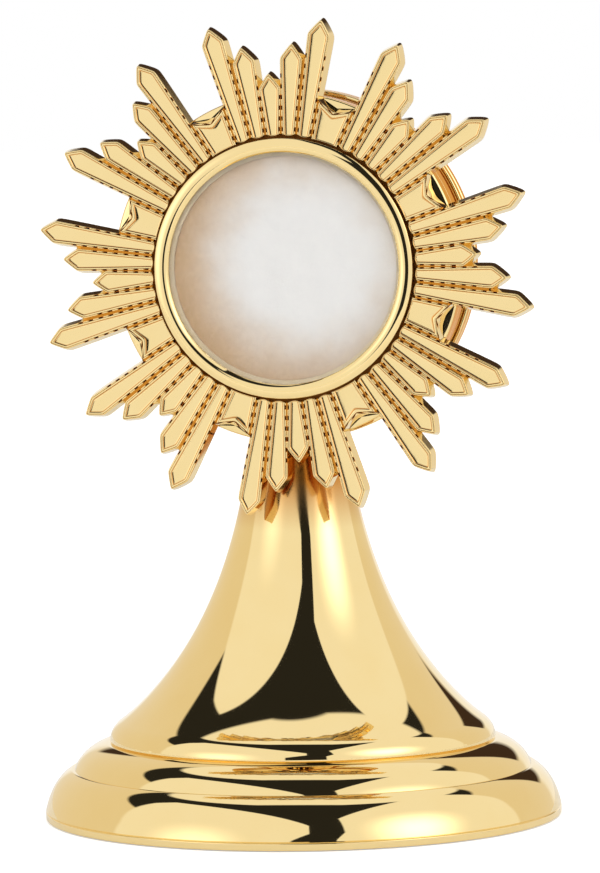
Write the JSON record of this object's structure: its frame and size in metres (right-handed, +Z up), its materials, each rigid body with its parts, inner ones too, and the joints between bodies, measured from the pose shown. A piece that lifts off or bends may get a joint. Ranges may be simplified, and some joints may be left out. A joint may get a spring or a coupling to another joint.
{
  "type": "table reliquary",
  "caption": "Gold-plated table reliquary: a stepped bell base carries a round glazed relic case with a cast sunburst round the window and a push-on rear cap.",
  "frame": {"origin": "centre of the felt underside, on the plane that the reliquary stands on", "axes": "+Z up along the bell and neck, -Y out of the window, +X to the right seen from the front"},
  "size_m": [0.0816, 0.0816, 0.1258],
  "materials": {
    "gold_plate": "mirror-polished gold plate over brass",
    "brass": "turned, unplated",
    "steel": "zinc-plated",
    "cast_iron": "as cast",
    "window_glass": "polished",
    "gasket": "matte",
    "cotton_pad": "soft brushed cotton",
    "felt": "pressed felt"
  },
  "bodies": {
    "stand": {"base_shell": "gold_plate", "base_felt": "felt", "base_plate": "steel", "base_weight": "cast_iron", "tie_rod": "steel", "tie_washer": "steel", "tie_nut": "steel", "neck_saddle": "gold_plate", "capsule_body": "gold_plate", "sunburst_plate": "gold_plate", "bezel_ring": "gold_plate", "bezel_nut": "brass", "window_glass": "window_glass", "window_gasket": "gasket", "relic_pad": "cotton_pad", "pad_backing": "brass", "snap_ring": "steel"},
    "cap_band": {"cap_band": "steel"},
    "rear_cap": {"rear_cap": "gold_plate"}
  },
  "joints": [
    {"name": "cap_turn", "type": "hinge", "parent": "stand", "child": "cap_band", "pos_m": [0, 0.006, 0.0871], "axis": [0, 1, 0], "continuous": true},
    {"name": "cap_pull", "type": "slide", "parent": "cap_band", "child": "rear_cap", "axis": [0, 1, 0], "range_m": [0, 0.02]}
  ]
}
